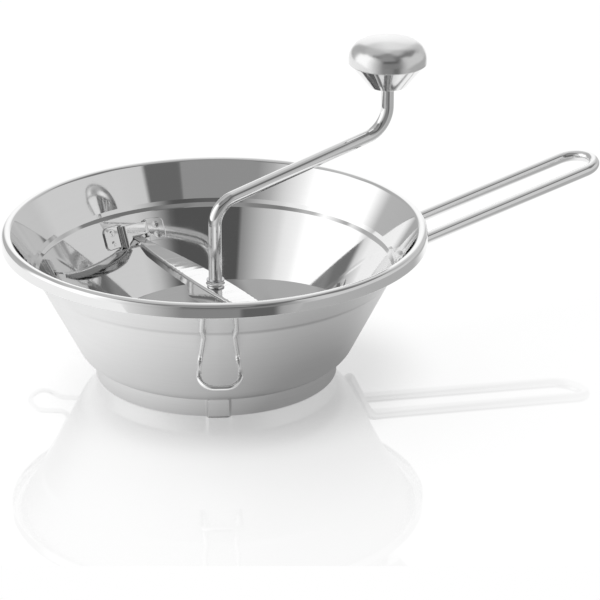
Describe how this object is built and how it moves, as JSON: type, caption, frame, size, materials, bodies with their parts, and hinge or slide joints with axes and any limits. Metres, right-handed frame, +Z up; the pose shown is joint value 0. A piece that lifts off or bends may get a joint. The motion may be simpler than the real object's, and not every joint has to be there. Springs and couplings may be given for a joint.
{
  "type": "food mill",
  "caption": "Stainless steel food mill: a flared bowl with a sieve disc, a hand crank with a spring-loaded pressing blade, a wire loop handle and wire pot hooks.",
  "frame": {"origin": "on the bowl's axis, at the plane that the foot ring stands on", "axes": "+Z up along the bowl's axis, -Y towards the front hook, +X to the right seen from the front"},
  "size_m": [0.3744, 0.2829, 0.1892],
  "materials": {
    "polished_steel": "polished",
    "satin_steel": "satin",
    "spring_steel": "drawn wire",
    "knob_satin": "bead-blasted satin"
  },
  "bodies": {
    "bowl_body": {"bowl": "polished_steel", "sieve_disc": "satin_steel", "bracket_rear": "polished_steel", "bracket_front": "polished_steel", "wire_handle": "polished_steel", "front_hook": "polished_steel", "rear_hook": "polished_steel"},
    "bridge": {"crossbar": "polished_steel", "spring_washer": "satin_steel", "pressure_spring": "spring_steel"},
    "seat": {"spring_seat": "satin_steel"},
    "crank": {"crank_rod": "polished_steel", "retaining_ring": "spring_steel", "blade_hub": "satin_steel", "press_blade": "polished_steel", "hub_pin": "satin_steel", "knob_clip": "spring_steel"},
    "knob": {"knob_dome": "knob_satin", "knob_cone": "polished_steel", "knob_sleeve": "knob_satin"}
  },
  "joints": [
    {"name": "bridge_turn", "type": "hinge", "parent": "bowl_body", "child": "bridge", "pos_m": [0, 0, 0.0536], "axis": [0, 0, 1], "range_deg": [-25, 0]},
    {"name": "blade_lift", "type": "slide", "parent": "bridge", "child": "seat", "axis": [0, 0, 1], "range_m": [0, 0.003], "stiffness_N_per_m": 3000, "springref_m": -0.004, "deforming": ["pressure_spring"]},
    {"name": "crank_turn", "type": "hinge", "parent": "seat", "child": "crank", "pos_m": [0, 0, 0.05], "axis": [0, 0, 1], "continuous": true},
    {"name": "knob_spin", "type": "hinge", "parent": "crank", "child": "knob", "pos_m": [0.10576, 0.05412, 0.173], "axis": [0, 0, 1], "continuous": true}
  ]
}
